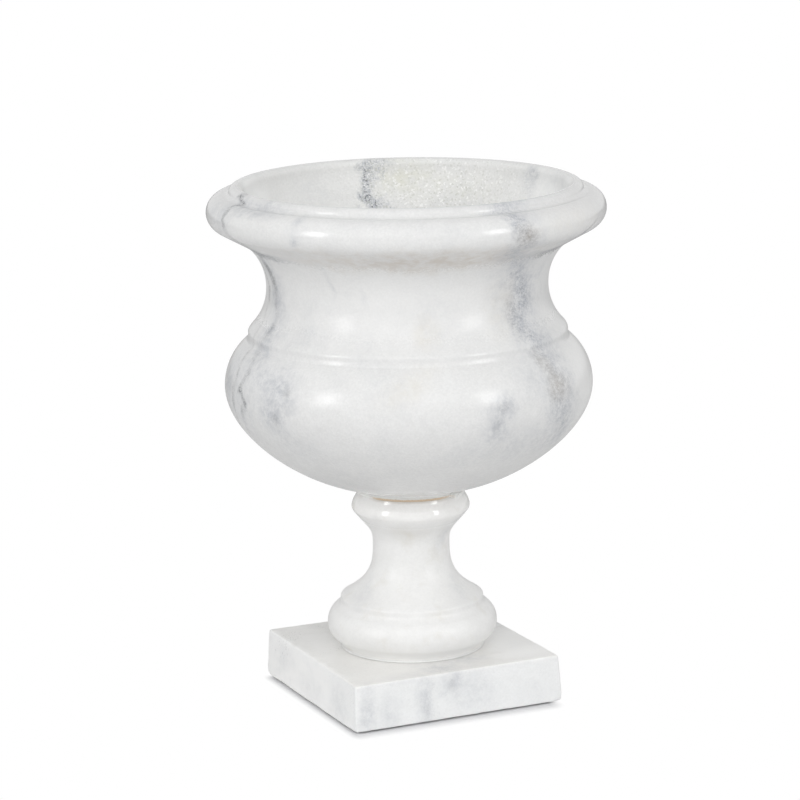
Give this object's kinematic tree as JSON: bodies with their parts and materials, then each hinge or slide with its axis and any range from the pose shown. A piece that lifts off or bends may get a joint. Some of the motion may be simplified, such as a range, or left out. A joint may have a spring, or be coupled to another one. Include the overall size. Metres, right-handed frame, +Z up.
{
  "type": "footed urn",
  "caption": "Turned marble urn: a wide-lipped hollow bowl on a waisted pedestal and a square plinth, bedded in adhesive and tied by a hidden rod; holds flowers, plants or fruit.",
  "frame": {"origin": "on the floor, on the turned axis, at the underside of the pads", "axes": "+Z up the turned axis, X and Y along the plinth's sides; the plinth face that shows widest in the picture is -Y"},
  "size_m": [0.3048, 0.3048, 0.4018],
  "materials": {
    "bowl_marble": "polished outside, ground and matt inside",
    "pedestal_marble": "polished",
    "plinth_marble": "honed, arrises eased",
    "tan_adhesive": "set mastic",
    "pale_adhesive": "set mastic",
    "anchor_resin": "cast resin",
    "rod_steel": "zinc plated",
    "washer_steel": "zinc plated",
    "nut_steel": "zinc plated",
    "pad_felt": "pressed felt"
  },
  "bodies": {
    "root": {"bowl": "bowl_marble", "bowl_bed": "tan_adhesive", "pedestal": "pedestal_marble", "pedestal_bed": "pale_adhesive", "plinth": "plinth_marble", "tie_rod": "rod_steel", "rod_anchor": "anchor_resin", "rod_washer": "washer_steel", "rod_nut": "nut_steel", "pad_front_left": "pad_felt", "pad_front_right": "pad_felt", "pad_rear_left": "pad_felt", "pad_rear_right": "pad_felt"}
  },
  "joints": []
}
